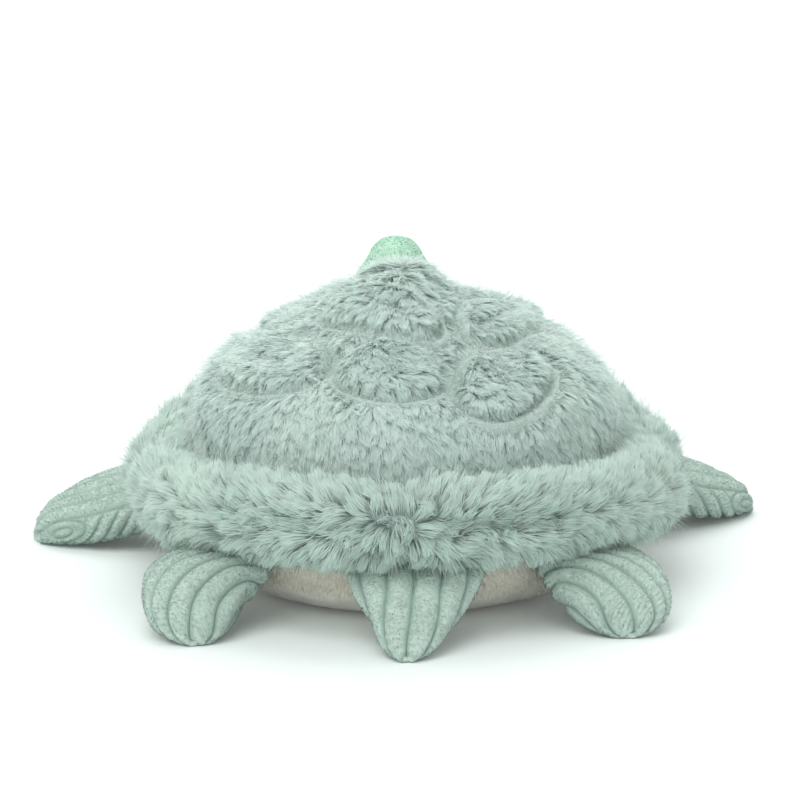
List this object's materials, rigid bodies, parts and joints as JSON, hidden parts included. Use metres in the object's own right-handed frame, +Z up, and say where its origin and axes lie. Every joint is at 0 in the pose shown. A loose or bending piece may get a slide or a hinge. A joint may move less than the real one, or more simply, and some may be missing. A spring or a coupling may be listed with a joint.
{
  "type": "plush turtle",
  "caption": "Stuffed toy sea turtle with a quilted fur shell, a stuffed fur roll round its edge, a plush belly, cord-plush flippers and tail, and a velour head on a nodding neck",
  "frame": {"origin": "on the floor, in the middle of the belly's flat, under the middle of the shell", "axes": "+Z up, +Y towards the head, +X to the turtle's right side"},
  "size_m": [0.3038, 0.3266, 0.126],
  "materials": {
    "fur": "long-pile plush, sage green",
    "cord": "wide-wale cord plush, sage green",
    "velour": "short-pile velour, mint green",
    "belly_plush": "short-pile plush, cream",
    "stuffing": "loose white polyester fibre",
    "eye": "polished black plastic",
    "washer": "plain white-grey plastic"
  },
  "bodies": {
    "body": {"shell_cover": "fur", "rim_cover": "fur", "belly_cover": "belly_plush", "body_filling": "stuffing", "rim_filling": "stuffing"},
    "front_flipper_left": {"front_flipper_left_cover": "cord", "front_flipper_left_filling": "stuffing"},
    "front_flipper_right": {"front_flipper_right_cover": "cord", "front_flipper_right_filling": "stuffing"},
    "rear_flipper_left": {"rear_flipper_left_cover": "cord", "rear_flipper_left_filling": "stuffing"},
    "rear_flipper_right": {"rear_flipper_right_cover": "cord", "rear_flipper_right_filling": "stuffing"},
    "tail": {"tail_cover": "cord", "tail_filling": "stuffing"},
    "neck": {"neck_cover": "velour", "neck_filling": "stuffing"},
    "head": {"head_cover": "velour", "head_filling": "stuffing", "eye_left": "eye", "eye_right": "eye", "eye_washer_left": "washer", "eye_washer_right": "washer"}
  },
  "joints": [
    {"name": "front_flipper_left_flap", "type": "hinge", "parent": "body", "child": "front_flipper_left", "pos_m": [-0.08792, 0.041, 0.02198], "axis": [-0.3544, -0.9099, -0.2155], "range_deg": [-10, 55], "stiffness_Nm_per_rad": 0.1},
    {"name": "front_flipper_right_flap", "type": "hinge", "parent": "body", "child": "front_flipper_right", "pos_m": [0.07785, 0.06082, 0.02779], "axis": [-0.5271, 0.8076, 0.2646], "range_deg": [-10, 55], "stiffness_Nm_per_rad": 0.1},
    {"name": "rear_flipper_left_flap", "type": "hinge", "parent": "body", "child": "rear_flipper_left", "pos_m": [-0.06837, -0.07332, 0.02054], "axis": [0.6658, -0.7431, 0.067], "range_deg": [-10, 55], "stiffness_Nm_per_rad": 0.1},
    {"name": "rear_flipper_right_flap", "type": "hinge", "parent": "body", "child": "rear_flipper_right", "pos_m": [0.06837, -0.07332, 0.02054], "axis": [0.6658, 0.7431, -0.067], "range_deg": [-10, 55], "stiffness_Nm_per_rad": 0.1},
    {"name": "tail_flap", "type": "hinge", "parent": "body", "child": "tail", "pos_m": [0.00366, -0.10492, 0.02459], "axis": [0.9991, 0.0417, -0.0045], "range_deg": [-10, 55], "stiffness_Nm_per_rad": 0.1},
    {"name": "neck_nod", "type": "hinge", "parent": "body", "child": "neck", "pos_m": [0, 0.096, 0.028], "axis": [1, 0, 0], "range_deg": [-25, 4], "stiffness_Nm_per_rad": 0.6},
    {"name": "head_turn", "type": "hinge", "parent": "neck", "child": "head", "pos_m": [-0.004, 0.15005, 0.0623], "axis": [0, 0.1736, 0.9848], "range_deg": [-40, 40], "stiffness_Nm_per_rad": 0.1}
  ]
}
